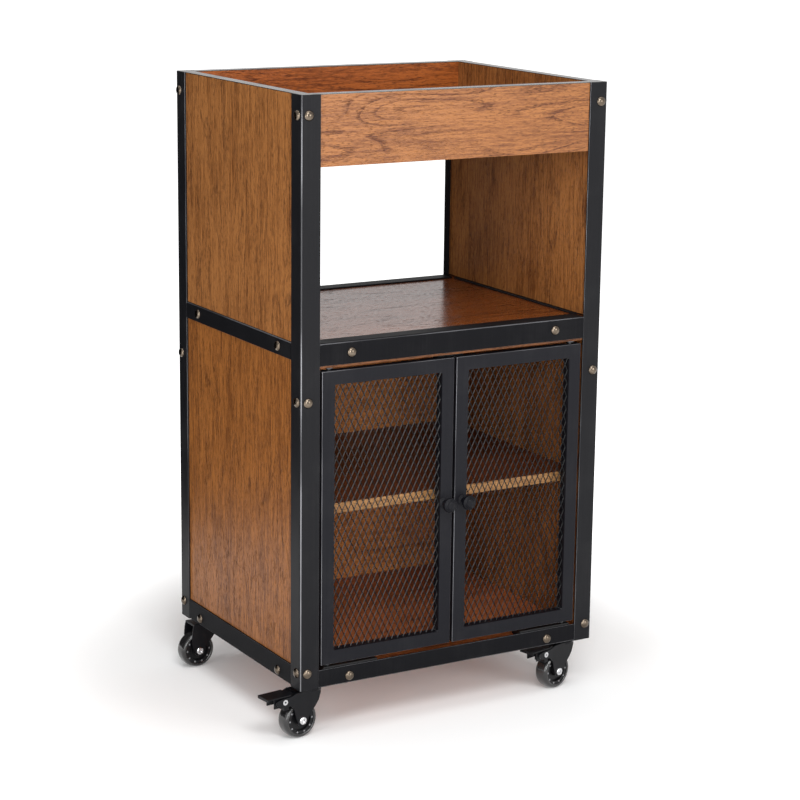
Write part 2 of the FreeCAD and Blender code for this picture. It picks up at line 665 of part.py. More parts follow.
def door_mesh(side, hand):
    """Expanded metal: one flat sheet with diamond gaps, welded inside the window."""
    face = size("tube_face")
    left = size("door_gap") + face if side > 0 else face - size("door_edge")
    low = size("door_bottom") + face
    width = size("door_edge") - size("door_gap") - 2 * face
    height = size("door_height") - 2 * face
    y = size("mesh_setback") - size("frame_depth") / 2
    columns = int(size("mesh_columns"))
    rows = int(size("mesh_rows"))
    half_pitch_x = width / columns / 2
    half_pitch_z = height / rows / 2
    to_strand = half_pitch_x * half_pitch_z / math.hypot(half_pitch_x, half_pitch_z)
    shrink = (to_strand - size("mesh_strand") / 2) / to_strand
    blank = Part.makeBox(width, size("mesh_sheet"), height, Vector(left, y, low))
    upright = [edge for edge in blank.Edges if abs(edge.tangentAt(0).y) > 0.5]
    sheet_metal = blank.makeFillet(size("window_round"), upright)
    front_face = min(sheet_metal.Faces, key=lambda each: each.CenterOfMass.y)
    gaps = []
    for column in range(1, 2 * columns):
        for row in range(1, 2 * rows):
            if column % 2 == row % 2:
                gaps.append(diamond(left + column * half_pitch_x, low + row * half_pitch_z,
                                    half_pitch_x * shrink, half_pitch_z * shrink, y))
    holed = Part.makeFace([front_face.OuterWire] + gaps, "Part::FaceMakerBullseye")
    thing = doc.addObject("Part::Feature", f"{hand}_door_mesh")
    thing.Shape = holed.extrude(Vector(0, size("mesh_sheet"), 0))
    keep(thing, f"{hand}_door_mesh")


def door_pins(side, hand):
    bottom = cylinder("bottom_pin", "dims.pivot_radius",
                      f"dims.door_bottom + dims.tube_face - dims.tube_wall - {FLOOR_TOP} - dims.steel / 2",
                      pivot_x(side), PIVOT_Y, f"{FLOOR_TOP} + dims.steel / 2")
    seat = "(dims.door_bottom + dims.door_height - dims.tube_face + dims.tube_wall)"
    top = cylinder("top_pin", "dims.pivot_radius", f"{HEADER_UNDER} + dims.bush_length - dims.steel - {seat}",
                   pivot_x(side), PIVOT_Y, seat)
    keep(group(f"{hand}_door_pivot_pins", [bottom, top]), f"{hand}_door_pivot_pins")


def door_knob(side, hand):
    """A turned knob: stud, base plate, neck and a broad round head with a ring groove."""
    x = f"{side} * dims.knob_reach"
    z = "dims.knob_height"
    head_front = f"({FRONT} - dims.knob_projection)"
    stud = cylinder("knob_stud", "dims.knob_stud", "dims.tube_wall + dims.knob_stud_end", x, FRONT, z, "y")
    base = cylinder("knob_base", "dims.knob_base", "dims.knob_base_plate",
                    x, f"{FRONT} - dims.knob_base_plate", z, "y")
    neck = cylinder("knob_neck", "dims.knob_neck", "dims.knob_projection - dims.knob_head",
                    x, f"{head_front} + dims.knob_head", z, "y")
    disc = cylinder("knob_disc", "dims.knob_radius", "dims.knob_head", x, head_front, z, "y")
    head = rounded(f"{hand}_knob_head", disc, size("knob_head") / 4)
    groove = doc.addObject("Part::Torus", "knob_groove")
    groove.Placement = Placement(Vector(), Rotation(Vector(1, 0, 0), 90))
    bind(groove, Radius1="dims.knob_ring", Radius2="dims.knob_groove")
    bind_place(groove, x, head_front, z)
    blank = fuse(f"{hand}_knob_blank", [stud, base, neck, head])
    keep(cut(f"{hand}_door_knob", blank, groove), f"{hand}_door_knob")


# ---------------------------------------------------------------- castors

def castor_places():
    """Name, side, face, turn of the fork about its stem, and whether it has a brake."""
    return [("front_left", -1, -1, 187, True), ("front_right", 1, -1, 194, True),
            ("back_left", -1, 1, 183, False), ("back_right", 1, 1, 205, False)]


def castor_stems():
    """Each stem passes between the two bottom rails of its corner and ends in the bottom board."""
    stems = []
    race_low = "dims.castor_height - dims.race_height"
    head_low = "(dims.fork_top - dims.fork_top_plate - dims.swivel_gap - dims.stem_head_height)"
    for name, side, face, turn, braked in castor_places():
        x = f"{side} * dims.castor_reach_x"
        y = f"{face} * dims.castor_reach_y"
        rod = cylinder("stem_rod", "dims.stem_radius", f"{FLOOR_TOP} - {head_low}", x, y, head_low)
        race = cylinder("stem_race", "dims.race_radius", "dims.race_height", x, y, race_low)
        head = cylinder("stem_head", "dims.stem_head", "dims.stem_head_height", x, y, head_low)
        stems.append(fuse(f"{name}_stem", [rod, race, head]))
    return keep(group("castor_stems", stems), "castor_stems")


def keep_on_castor(thing, label, side, face, turn):
    """Set a piece that is drawn round its own stem, trailing towards +X, under its corner."""
    thing.Placement = Placement(Vector(), Rotation(Vector(0, 0, 1), turn))
    bind_place(thing, f"{side} * dims.castor_reach_x", f"{face} * dims.castor_reach_y")
    return keep(thing, label)


def cheek_outline(braked):
    """Side view of the fork from its hub's back edge up, over the top and down to the front edge.

    The points are (behind the stem, above the floor).
    """
    trail = size("castor_trail")
    axle = size("wheel_radius")
    top = size("fork_top")
    hub = size("fork_hub")
    back_edge = [(trail + hub, axle), (33, 34), (34.5, 41)]
    if braked:
        arm = [(36.5, 48.5), (41, 53), (48, 54.5), (56, 54.5), (63, 57), (66.5, 60.5), (66.5, 63.5),
               (63, 65.5), (56, 66.8), (41, 67.5), (size("fork_top_end"), top)]
    else:
        arm = [(34, 52), (33, 62), (size("fork_top_end"), top)]
    front_edge = [(-10, top), (-10, 65), (-6.5, 54), (-1, 46), (7, 37), (trail - hub, axle)]
    return back_edge + arm + front_edge


def fork_cheeks(name, braked):
    """The folded sheet of the fork before its slot: one solid as wide as the fork."""
    body = doc.addObject("PartDesign::Body", f"{name}_cheeks")
    sketch = sketch_on(body, "XZ_Plane", f"{name}_side_view")
    points = [Vector(*point, 0) for point in cheek_outline(braked)]
    for start, end in zip(points, points[1:]):
        sketch.addGeometry(Part.LineSegment(start, end), False)
    hub_low = Vector(size("castor_trail"), size("wheel_radius") - size("fork_hub"), 0)
    sketch.addGeometry(Part.Arc(points[-1], hub_low, points[0]), False)
    pad = body.newObject("PartDesign::Pad", f"{name}_width")
    pad.Profile = sketch
    pad.Midplane = True
    pad.setExpression("Length", "dims.fork_gap + 2 * dims.fork_plate")
    doc.recompute()
    return body


ACROSS = "(dims.fork_gap + 2 * dims.fork_plate)"
CORE_HOLES = 10


def cross_rod(name, radius, length, x, z):
    """A rod across the castor, centred on the wheel's middle plane."""
    return cylinder(name, radius, length, x, f"-({length}) / 2", z, "y")


def at_axle(name, radius, length=f"2 * {ACROSS}"):
    """A rod along the axle. Without a length it is a drill that passes through everything."""
    return cross_rod(name, radius, length, "dims.castor_trail", "dims.wheel_radius")


def at_rivet(name, radius, length=f"2 * {ACROSS}"):
    return cross_rod(name, radius, length, "dims.rivet_reach", "dims.rivet_height")


def outside_pair(name, radius, thickness, x, z):
    """Two discs, one on the outside of each cheek."""
    near = cylinder(f"{name}_near", radius, thickness, x, f"{ACROSS} / 2", z, "y")
    far = cylinder(f"{name}_far", radius, thickness, x, f"-{ACROSS} / 2 - {thickness}", z, "y")
    return [near, far]


def fork(name, braked):
    """Two cheeks under a top plate with a race ring. The arms of a braked one reach on behind."""
    under_plate = "(dims.fork_top - dims.fork_top_plate)"
    slot = box(f"{name}_fork_slot", "4 * dims.wheel_radius", "dims.fork_gap", under_plate,
               "-dims.wheel_radius", "-dims.fork_gap / 2")
    behind_plate = box(f"{name}_arm_slot", "2 * dims.wheel_radius", "dims.fork_gap", "dims.fork_top",
                       "dims.fork_top_end", "-dims.fork_gap / 2")
    slots = group(f"{name}_slots", [slot, behind_plate])
    slotted = cut(f"{name}_fork_slotted", fork_cheeks(name, braked), slots)
    disc = cylinder(f"{name}_fork_disc", "dims.fork_disc", "dims.fork_top_plate", "0", "0", under_plate)
    race = cylinder(f"{name}_fork_race", "dims.fork_race", "dims.fork_race_height", "0", "0", "dims.fork_top")
    blank = fuse(f"{name}_fork_blank", [slotted, disc, race])
    stem_hole = cylinder(f"{name}_stem_hole", "dims.stem_radius + dims.running_gap",
                         "dims.fork_top_plate + dims.fork_race_height", "0", "0", under_plate)
    holes = [stem_hole, at_axle(f"{name}_axle_hole", "dims.axle_radius")]
    if braked:
        holes.append(at_rivet(f"{name}_rivet_hole", "dims.rivet_radius"))
    return cut(f"{name}_castor_fork", blank, group(f"{name}_fork_holes", holes))


def tyre(name):
    blank = at_axle(f"{name}_tyre_blank", "dims.wheel_radius", "dims.tyre_width")
    outside = rounded(f"{name}_tyre_outside", blank, size("tyre_shoulder"))
    return cut(f"{name}_tyre", outside, at_axle(f"{name}_tyre_seat", "dims.core_radius"))


def wheel_core(name):
    """Hub, web and rim, with a ring of small holes through the rim."""
    hub = at_axle(f"{name}_hub", "dims.hub_radius", "dims.hub_width")
    web = at_axle(f"{name}_web", "dims.core_radius", "dims.web_width")
    rim_blank = at_axle(f"{name}_rim_blank", "dims.core_radius", "dims.rim_width")
    rim = cut(f"{name}_rim", rim_blank, at_axle(f"{name}_rim_inside", "dims.core_radius - dims.rim_depth"))
    holes = [at_axle(f"{name}_axle_bore", "dims.axle_radius + dims.running_gap")]
    for number in range(CORE_HOLES):
        angle = 2 * math.pi * number / CORE_HOLES
        x = f"dims.castor_trail + {math.cos(angle):.5f} * dims.core_hole_ring"
        z = f"dims.wheel_radius + {math.sin(angle):.5f} * dims.core_hole_ring"
        holes.append(cross_rod(f"{name}_core_hole", "dims.core_hole", ACROSS, x, z))
    blank = fuse(f"{name}_core_blank", [hub, web, rim])
    return cut(f"{name}_wheel_core", blank, group(f"{name}_core_holes", holes))


def axle_bolt(name):
    rod = at_axle(f"{name}_axle_rod", "dims.axle_radius", ACROSS)
    ends = outside_pair(f"{name}_axle_end", "dims.axle_head", "dims.axle_head_height",
                        "dims.castor_trail", "dims.wheel_radius")
    return fuse(f"{name}_axle_bolt", [rod] + ends)


def brake_rivet(name):
    shank = at_rivet(f"{name}_rivet_shank", "dims.rivet_radius", ACROSS)
    ends = outside_pair(f"{name}_rivet_end", "dims.rivet_head", "dims.rivet_flare",
                        "dims.rivet_reach", "dims.rivet_height")
    blank = fuse(f"{name}_rivet_blank", [shank] + ends)
    return cut(f"{name}_brake_rivet", blank, at_rivet(f"{name}_rivet_hollow", "dims.rivet_bore"))


def pedal_block(name, start, length, width, low, height):
    """A block of the pedal, centred across the castor."""
    return box(name, length, width, height, start, f"-{width} / 2", low)


def brake_pedal(name):
    """A bent plate over the fork's arms, with two ears on the rivet and a shoe above the tyre."""
    low = "(dims.pedal_top - dims.pedal_plate)"
    plate = pedal_block(f"{name}_pedal_plate", "dims.pedal_start", "dims.pedal_end - dims.pedal_start",
                        "dims.pedal_width", low, "dims.pedal_plate")
    neck = pedal_block(f"{name}_pedal_neck", "dims.pedal_neck_start",
                       "dims.pedal_start - dims.pedal_neck_start", "dims.pedal_neck_width", low,
                       "dims.pedal_plate")
    lip = pedal_block(f"{name}_pedal_lip", "dims.pedal_end - dims.pedal_plate", "dims.pedal_plate",
                      "dims.pedal_width", "dims.pedal_top - dims.pedal_lip", "dims.pedal_lip")
    ears_blank = pedal_block(f"{name}_ears_blank", "dims.ear_start", "dims.ear_end - dims.ear_start",
                             "dims.ear_width", "dims.ear_bottom", f"{low} - dims.ear_bottom")
    between = pedal_block(f"{name}_between_ears", "dims.ear_start", "dims.ear_end - dims.ear_start",
                          "(dims.ear_width - 2 * dims.pedal_plate)", "dims.ear_bottom",
                          f"{low} - dims.ear_bottom")
    shoe = pedal_block(f"{name}_brake_shoe", "dims.shoe_start", "dims.shoe_length",
                       "dims.ear_width", "dims.shoe_bottom", "dims.shoe_height")
    solids = [plate, neck, lip, cut(f"{name}_ears", ears_blank, between), shoe]
    blank = fuse(f"{name}_pedal_blank", solids)
    bore = at_rivet(f"{name}_pedal_bore", "dims.rivet_radius + dims.running_gap")
    return cut(f"{name}_brake_pedal", blank, bore)


def castors():
    for name, side, face, turn, braked in castor_places():
        pieces = {"castor_fork": fork(name, braked), "tyre": tyre(name), "wheel_core": wheel_core(name),
                  "axle_bolt": axle_bolt(name)}
        if braked:
            pieces["brake_rivet"] = brake_rivet(name)
            pieces["brake_pedal"] = brake_pedal(name)
        for piece, solid in pieces.items():
            keep_on_castor(solid, f"{name}_{piece}", side, face, turn)


# ---------------------------------------------------------------- the whole cart

def build():
    fill_sheet()
    holes = screws()
    stems = castor_stems()
    floor_holes = group("floor_holes", [holes, stems])
    corner_posts(holes)
    rails(floor_holes)
    side_panels(holes, shelf_pins())
    tray()
    full_board("microwave_shelf", SHELF_UNDER, holes)
    full_board("bottom_board", "dims.castor_height + dims.steel", floor_holes)
    cabinet()
    door_header()
    pivot_bushes()
    pivot_blocks()
    magnetic_catch()
    for side, hand in ((-1, "left"), (1, "right")):
        door_frame(side, hand)
        door_mesh(side, hand)
        door_knob(side, hand)
        door_pins(side, hand)
    castors()
    doc.recompute()


def check():
    for thing in doc.Objects:
        if "Invalid" in thing.State or "Error" in thing.State:
            raise RuntimeError(f"{thing.Name} failed: {thing.State}")
    for part in parts:
        shape = part.Shape
        if shape.isNull() or not shape.isValid():
            raise RuntimeError(f"{part.Label} has no valid shape")


def export():
    os.makedirs("parts", exist_ok=True)
    for part in parts:
        part.Shape.exportStep(f"parts/{part.Label}.step")
        solids = part.Shape.Solids
        print(f"{part.Label}: {len(solids)} solid(s), {part.Shape.Volume / 1000:.1f} cm3")
    print(f"{len(parts)} nodes")


build()
check()
export()
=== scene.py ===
"""The look of the microwave cart: steel, veneered boards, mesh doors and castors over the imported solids.

Lengths in the tables are millimetres; Blender works in metres. The floor is at z = 0, the doors face -Y.
"""

import json
import math

import bmesh
import bpy
from mathutils import Matrix, Vector

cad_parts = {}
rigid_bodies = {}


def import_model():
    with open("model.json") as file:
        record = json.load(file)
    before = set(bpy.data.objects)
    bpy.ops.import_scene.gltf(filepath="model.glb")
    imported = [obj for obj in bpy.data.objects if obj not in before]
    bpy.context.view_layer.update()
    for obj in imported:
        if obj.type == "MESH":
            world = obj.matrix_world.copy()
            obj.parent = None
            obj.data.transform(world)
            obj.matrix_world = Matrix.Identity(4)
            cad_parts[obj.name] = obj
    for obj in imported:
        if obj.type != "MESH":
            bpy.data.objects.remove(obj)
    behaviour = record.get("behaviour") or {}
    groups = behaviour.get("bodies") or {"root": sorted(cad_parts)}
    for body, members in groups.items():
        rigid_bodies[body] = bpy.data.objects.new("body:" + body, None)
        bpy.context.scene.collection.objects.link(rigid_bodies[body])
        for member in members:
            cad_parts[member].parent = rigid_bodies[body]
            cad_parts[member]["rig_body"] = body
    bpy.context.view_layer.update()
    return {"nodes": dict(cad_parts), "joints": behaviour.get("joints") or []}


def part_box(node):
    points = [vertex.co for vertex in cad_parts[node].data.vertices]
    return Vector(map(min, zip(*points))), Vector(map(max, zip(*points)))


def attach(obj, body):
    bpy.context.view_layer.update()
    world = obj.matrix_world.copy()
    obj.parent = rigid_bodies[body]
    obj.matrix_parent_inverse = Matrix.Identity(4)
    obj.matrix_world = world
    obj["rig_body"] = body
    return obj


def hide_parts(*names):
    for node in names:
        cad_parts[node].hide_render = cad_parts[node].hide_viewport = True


MM = 0.001
UP = Vector((0, 0, 1))
BACKWARDS = Vector((0, 1, 0))

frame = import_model()
scene = bpy.context.scene


# ---------------------------------------------------------------- camera and lamps

CAMERA_PLACE = (-1692.9, -2939.1, 1227.0)
CAMERA_AZIMUTH, CAMERA_ELEVATION, CAMERA_ROLL = -30.31, 13.14, 0.71
CAMERA_LENS, SENSOR_WIDTH = 103.68, 36.0
FAR_CLIP = 200


def direction(azimuth, elevation):
    """The way from the cart to a place seen at this azimuth (0 is the front) and elevation, in degrees."""
    azimuth, elevation = math.radians(azimuth), math.radians(elevation)
    return Vector((math.sin(azimuth) * math.cos(elevation), -math.cos(azimuth) * math.cos(elevation),
                   math.sin(elevation)))


def photo_camera():
    data = bpy.data.cameras.new("photo_camera")
    data.lens = CAMERA_LENS
    data.sensor_width = SENSOR_WIDTH
    data.clip_end = FAR_CLIP
    camera = bpy.data.objects.new("photo_camera", data)
    scene.collection.objects.link(camera)
    back = direction(CAMERA_AZIMUTH, CAMERA_ELEVATION)
    right = UP.cross(back).normalized()
    above = back.cross(right)
    axes = Matrix((right, above, back)).transposed().to_4x4()
    roll = Matrix.Rotation(math.radians(CAMERA_ROLL), 4, "Z")
    camera.matrix_world = Matrix.Translation(Vector(CAMERA_PLACE) * MM) @ axes @ roll
    scene.camera = camera


def soft_box(name, azimuth, elevation, distance, width, height, power, height_aimed):
    """A rectangular lamp that looks at the cart from a distance in metres."""
    data = bpy.data.lights.new(name, "AREA")
    data.shape = "RECTANGLE"
    data.size = width
    data.size_y = height
    data.energy = power
    lamp = bpy.data.objects.new(name, data)
    scene.collection.objects.link(lamp)
    back = direction(azimuth, elevation)
    lamp.location = Vector((0, 0, height_aimed)) + back * distance
    lamp.rotation_euler = back.to_track_quat("Z", "Y").to_euler()
    lamp.visible_camera = False


# ---------------------------------------------------------------- shader helpers


def put(tree, kind, settings=None, **inputs):
    """Adds a node. An input is a number, a colour or another node's output.

    An input is named by its label, with an underscore for a space, or by its place: i0, i1, i2.
    """
    node = tree.nodes.new(kind)
    for key, value in (settings or {}).items():
        setattr(node, key, value)
    for key, value in inputs.items():
        by_place = key[0] == "i" and key[1:].isdigit()
        socket = node.inputs[int(key[1:])] if by_place else node.inputs[key.replace("_", " ")]
        feed(tree, socket, value)
    return node


def feed(tree, socket, value):
    if isinstance(value, bpy.types.NodeSocket):
        tree.links.new(value, socket)
    else:
        socket.default_value = value


def sums(tree, operation, first, second=0.0, third=0.0):
    return put(tree, "ShaderNodeMath", {"operation": operation}, i0=first, i1=second, i2=third).outputs[0]


def ramp(tree, value, low, high, out_low=0.0, out_high=1.0):
    """Eases a value from one range into another."""
    node = put(tree, "ShaderNodeMapRange", {"interpolation_type": "SMOOTHSTEP"}, Value=value)
    for key, number in (("From Min", low), ("From Max", high), ("To Min", out_low), ("To Max", out_high)):
        node.inputs[key].default_value = number
    return node.outputs[0]


def stretched_noise(tree, place, stretch, detail=2.0, rough=0.5):
    """A noise whose waves per metre differ along the three axes."""
    scaled = put(tree, "ShaderNodeVectorMath", {"operation": "MULTIPLY"}, i0=place, i1=stretch).outputs[0]
    return put(tree, "ShaderNodeTexNoise", Vector=scaled, Scale=1.0, Detail=detail,
               Roughness=rough).outputs[0]


def around_zero(tree, noise):
    return sums(tree, "SUBTRACT", noise, 0.5)


def mixed(tree, share, first, second, blend="MIX"):
    node = tree.nodes.new("ShaderNodeMix")
    node.data_type = "RGBA"
    node.blend_type = blend
    for index, value in ((0, share), (6, first), (7, second)):
        feed(tree, node.inputs[index], value)
    return node.outputs[2]


def new_group(name, inputs, outputs):
    """A shader group with named sockets; kinds are Vector, Float and Color."""
    tree = bpy.data.node_groups.new(name, "ShaderNodeTree")
    for label, kind, value in inputs:
        socket = tree.interface.new_socket(label, in_out="INPUT", socket_type=f"NodeSocket{kind}")
        if value is not None:
            socket.default_value = value
    for label, kind in outputs:
        tree.interface.new_socket(label, in_out="OUTPUT", socket_type=f"NodeSocket{kind}")
    return tree, tree.nodes.new("NodeGroupInput").outputs, tree.nodes.new("NodeGroupOutput").inputs


def use_group(tree, group, **inputs):
    node = tree.nodes.new("ShaderNodeGroup")
    node.node_tree = group
    for key, value in inputs.items():
        feed(tree, node.inputs[key], value)
    return node.outputs


def blank_material(name):
    material = bpy.data.materials.new(name)
    material.use_nodes = True
    tree = material.node_tree
    return material, tree, tree.nodes["Principled BSDF"]


def here(tree):
    return tree.nodes.new("ShaderNodeTexCoord").outputs["Object"]


def bumped(tree, height, distance):
    return put(tree, "ShaderNodeBump", Height=height, Distance=distance).outputs[0]


# ---------------------------------------------------------------- shared surface effects

# The veneer's textures: waves per metre along the grain, across it and through the board.
CONTOURS, WOBBLE = (2.4, 12, 12), (20, 90, 90)
PATCHES, CLOUDS, BANDS = (8, 28, 28), (6, 13, 13), (2.5, 38, 38)
STREAKS, FIBRES, PORES = (16, 300, 300), (85, 620, 620), (135, 850, 850)
PORE_STAIN = (0.28, 0.25, 0.25, 1)


def veneer_group():
    """Flat-sawn veneer: contours of a slow field, fine fibres, short open pores. X runs along the grain."""
    tree, given, made = new_group(
        "Veneer figure",
        [("Place", "Vector", None), ("Pale", "Color", (0.4, 0.2, 0.1, 1)),
         ("Deep", "Color", (0.2, 0.1, 0.05, 1)), ("Figure", "Float", 0.5), ("Rings", "Float", 12.0),
         ("Mottle", "Float", 0.5), ("Streaks", "Float", 1.0)],
        [("Color", "Color"), ("Roughness", "Float"), ("Height", "Float")])
    place = given["Place"]

    # the dark late wood at the end of each contour, stronger in some patches than in others
    field = stretched_noise(tree, place, CONTOURS, 1.0, 0.4)
    wobble = stretched_noise(tree, place, WOBBLE, 3.0, 0.6)
    rise = sums(tree, "MULTIPLY_ADD", field, given["Rings"], sums(tree, "MULTIPLY", wobble, 0.45))
    phase = sums(tree, "FRACT", rise)
    late = sums(tree, "MULTIPLY", ramp(tree, phase, 0.62, 0.93), ramp(tree, phase, 0.95, 1.0, 1.0, 0.0))
    patches = ramp(tree, stretched_noise(tree, place, PATCHES), 0.34, 0.6, 0.25, 1.0)
    late = sums(tree, "MULTIPLY", late, patches)

    # what runs along the grain, the slow clouds, and the pores
    fibre = around_zero(tree, stretched_noise(tree, place, FIBRES, 3.0, 0.7))
    streak = around_zero(tree, stretched_noise(tree, place, STREAKS, 3.0, 0.6))
    band = around_zero(tree, stretched_noise(tree, place, BANDS))
    cloud = around_zero(tree, stretched_noise(tree, place, CLOUDS, 3.0))
    flecks = stretched_noise(tree, place, PORES, 1.0, 0.4)
    pore = ramp(tree, sums(tree, "ADD", flecks, sums(tree, "MULTIPLY", late, 0.12)), 0.57, 0.68)

    lines = sums(tree, "MULTIPLY_ADD", streak, 2.5, sums(tree, "MULTIPLY", fibre, 2.4))
    lines = sums(tree, "MULTIPLY", sums(tree, "MULTIPLY_ADD", band, 0.8, lines), given["Streaks"])
    depth = sums(tree, "ADD", sums(tree, "MULTIPLY", late, given["Figure"]), lines)
    depth = sums(tree, "ADD", depth, sums(tree, "MULTIPLY", cloud, given["Mottle"]))
    depth = put(tree, "ShaderNodeClamp", Value=sums(tree, "ADD", depth, 0.34)).outputs[0]
    wood = mixed(tree, depth, given["Pale"], given["Deep"])
    stained = mixed(tree, 1.0, given["Deep"], PORE_STAIN, "MULTIPLY")
    pore_share = sums(tree, "MULTIPLY", pore, sums(tree, "MULTIPLY_ADD", patches, 0.3, 0.26))
    tree.links.new(mixed(tree, pore_share, wood, stained), made["Color"])

    polish = sums(tree, "MULTIPLY_ADD", fibre, 0.14, 0.34)
    tree.links.new(sums(tree, "MULTIPLY_ADD", pore, 0.25, polish), made["Roughness"])
    low = sums(tree, "MULTIPLY_ADD", pore, -0.8, sums(tree, "MULTIPLY", streak, 0.6))
    tree.links.new(sums(tree, "MULTIPLY_ADD", late, -0.3, low), made["Height"])
    return tree


# The metal finish's textures, in waves per metre, and the colour of its dust.
DIMPLES, DRAWN_LINES, DUST = (900, 900, 900), (420, 420, 5), (14, 14, 14)
DUST_GREY = (0.09, 0.088, 0.088, 1)


def finish_group():
    """A sprayed or rolled finish: tiny dimples, faint drawn streaks, and dust that dulls it in places."""
    tree, given, made = new_group(
        "Metal finish",
        [("Place", "Vector", None), ("Color", "Color", (0.02, 0.02, 0.02, 1)), ("Gloss", "Float", 0.35),
         ("Streaks", "Float", 0.5)],
        [("Color", "Color"), ("Roughness", "Float"), ("Height", "Float")])
    place = given["Place"]
    peel = stretched_noise(tree, place, DIMPLES)
    drawn = stretched_noise(tree, place, DRAWN_LINES, 3.0, 0.6)
    dusty = ramp(tree, stretched_noise(tree, place, DUST, 4.0, 0.6), 0.45, 0.75)
    shade = sums(tree, "MULTIPLY", around_zero(tree, drawn), given["Streaks"])
    lift = sums(tree, "MAXIMUM", sums(tree, "ADD", shade, sums(tree, "MULTIPLY", dusty, 0.05)), 0.0)
    tree.links.new(mixed(tree, lift, given["Color"], DUST_GREY), made["Color"])
    rough = sums(tree, "MULTIPLY_ADD", dusty, 0.12, given["Gloss"])
    tree.links.new(sums(tree, "MULTIPLY_ADD", peel, 0.08, rough), made["Roughness"])
    tree.links.new(sums(tree, "MULTIPLY_ADD", drawn, given["Streaks"], sums(tree, "MULTIPLY", peel, 0.6)),
                   made["Height"])
    return tree


VENEER = veneer_group()
FINISH = finish_group()


# ---------------------------------------------------------------- materials

# Faces of broken edges and bends carry this mark, for wear and a painted highlight. They face no axis more
# squarely than BEND_FACING.
SOFT_EDGE, BEND_FACING = "softened_edge", 0.86
# Grey steel for rubbed edges and bends, which also paints their highlight, and the waves per metre of where
# it shows.
BARE_STEEL_AND_HIGHLIGHT = (0.25, 0.25, 0.265, 1)
RUBBED_AND_SHINING_PLACES = (7, 7, 7)


def veneer(name, grain, shift, pale, deep, figure=0.5, rings=12.0, mottle=0.8, specular=0.22,
           streaks=1.0, polish=0.0, relief=0.0002):
    """One board's veneer. grain gives the board's axes along the grain, across it and through the board."""
    material, tree, shader = blank_material(name)
    parts = put(tree, "ShaderNodeSeparateXYZ", Vector=here(tree)).outputs
    along, across, through = (parts["XYZ".index(letter)] for letter in grain)
    turned = put(tree, "ShaderNodeCombineXYZ", X=along, Y=across, Z=through).outputs[0]
    place = put(tree, "ShaderNodeVectorMath", {"operation": "ADD"}, i0=turned, i1=(shift, 0, 0)).outputs[0]
    figured = use_group(tree, VENEER, Place=place, Pale=(*pale, 1), Deep=(*deep, 1), Figure=figure,
                        Rings=rings, Mottle=mottle, Streaks=streaks)
    tree.links.new(figured["Color"], shader.inputs["Base Color"])
    tree.links.new(sums(tree, "SUBTRACT", figured["Roughness"], polish), shader.inputs["Roughness"])
    tree.links.new(bumped(tree, figured["Height"], relief), shader.inputs["Normal"])
    shader.inputs["Specular IOR Level"].default_value = specular
    return material


def metal_finish(name, colour, gloss, specular=0.5, streaks=0.3, bump=0.00004, metallic=0.0,
                 edge_wear_and_highlight=0.0):
    """A metal or plastic finish. The edge weight rubs softened edges and bends through to grey steel:
    partly wear, partly a painted highlight along them.
    """
    material, tree, shader = blank_material(name)
    surface = use_group(tree, FINISH, Place=here(tree), Color=(*colour, 1), Gloss=gloss, Streaks=streaks)
    tint = surface["Color"]
    if edge_wear_and_highlight:
        edge = put(tree, "ShaderNodeAttribute", {"attribute_name": SOFT_EDGE}).outputs["Fac"]
        rubbed_and_shining = ramp(tree, stretched_noise(tree, here(tree), RUBBED_AND_SHINING_PLACES, 3.0), 0.38, 0.62, 0.3, 1.0)
        bare_and_highlight = sums(tree, "MULTIPLY", sums(tree, "MULTIPLY", edge, rubbed_and_shining), edge_wear_and_highlight)
        # painted highlight and wear: the marked edges turn to grey metal in rubbed places
        tint = mixed(tree, bare_and_highlight, tint, BARE_STEEL_AND_HIGHLIGHT)
        tree.links.new(bare_and_highlight, shader.inputs["Metallic"])
    else:
        shader.inputs["Metallic"].default_value = metallic
    tree.links.new(tint, shader.inputs["Base Color"])
    tree.links.new(surface["Roughness"], shader.inputs["Roughness"])
    tree.links.new(bumped(tree, surface["Height"], bump), shader.inputs["Normal"])
    shader.inputs["Specular IOR Level"].default_value = specular
    return material


def bronze_material():
    """Antique bronze: brown, a little darker in patches, with a soft polish."""
    material, tree, shader = blank_material("antique_bronze")
    place = here(tree)
    worn = ramp(tree, stretched_noise(tree, place, (150, 150, 150), 3.0, 0.55), 0.38, 0.64)
    bronze = mixed(tree, worn, (0.100, 0.079, 0.060, 1), (0.140, 0.112, 0.086, 1))
    tree.links.new(bronze, shader.inputs["Base Color"])
    tree.links.new(ramp(tree, worn, 0.0, 1.0, 0.24, 0.18), shader.inputs["Roughness"])
    pits = stretched_noise(tree, place, (900, 900, 900))
    tree.links.new(bumped(tree, pits, 0.00001), shader.inputs["Normal"])
    shader.inputs["Metallic"].default_value = 1.0
    return material


def tyre_material():
    """Smoky cast polyurethane: nearly black under a clear skin, with light scuffs and a mould texture."""
    material, tree, shader = blank_material("smoky_polyurethane")
    place = here(tree)
    smoke = stretched_noise(tree, place, (60, 60, 60), 3.0, 0.6)
    smoky = mixed(tree, smoke, (0.0085, 0.0085, 0.0095, 1), (0.022, 0.021, 0.021, 1))
    tree.links.new(smoky, shader.inputs["Base Color"])
    scuffs = ramp(tree, stretched_noise(tree, place, (180, 180, 180), 3.0, 0.6), 0.45, 0.7, 0.12, 0.24)
    tree.links.new(scuffs, shader.inputs["Roughness"])
    fine = stretched_noise(tree, place, (700, 700, 700))
    tree.links.new(bumped(tree, fine, 0.00005), shader.inputs["Normal"])
    shader.inputs["Coat Weight"].default_value = 0.35
    shader.inputs["Coat Roughness"].default_value = 0.12
    return material


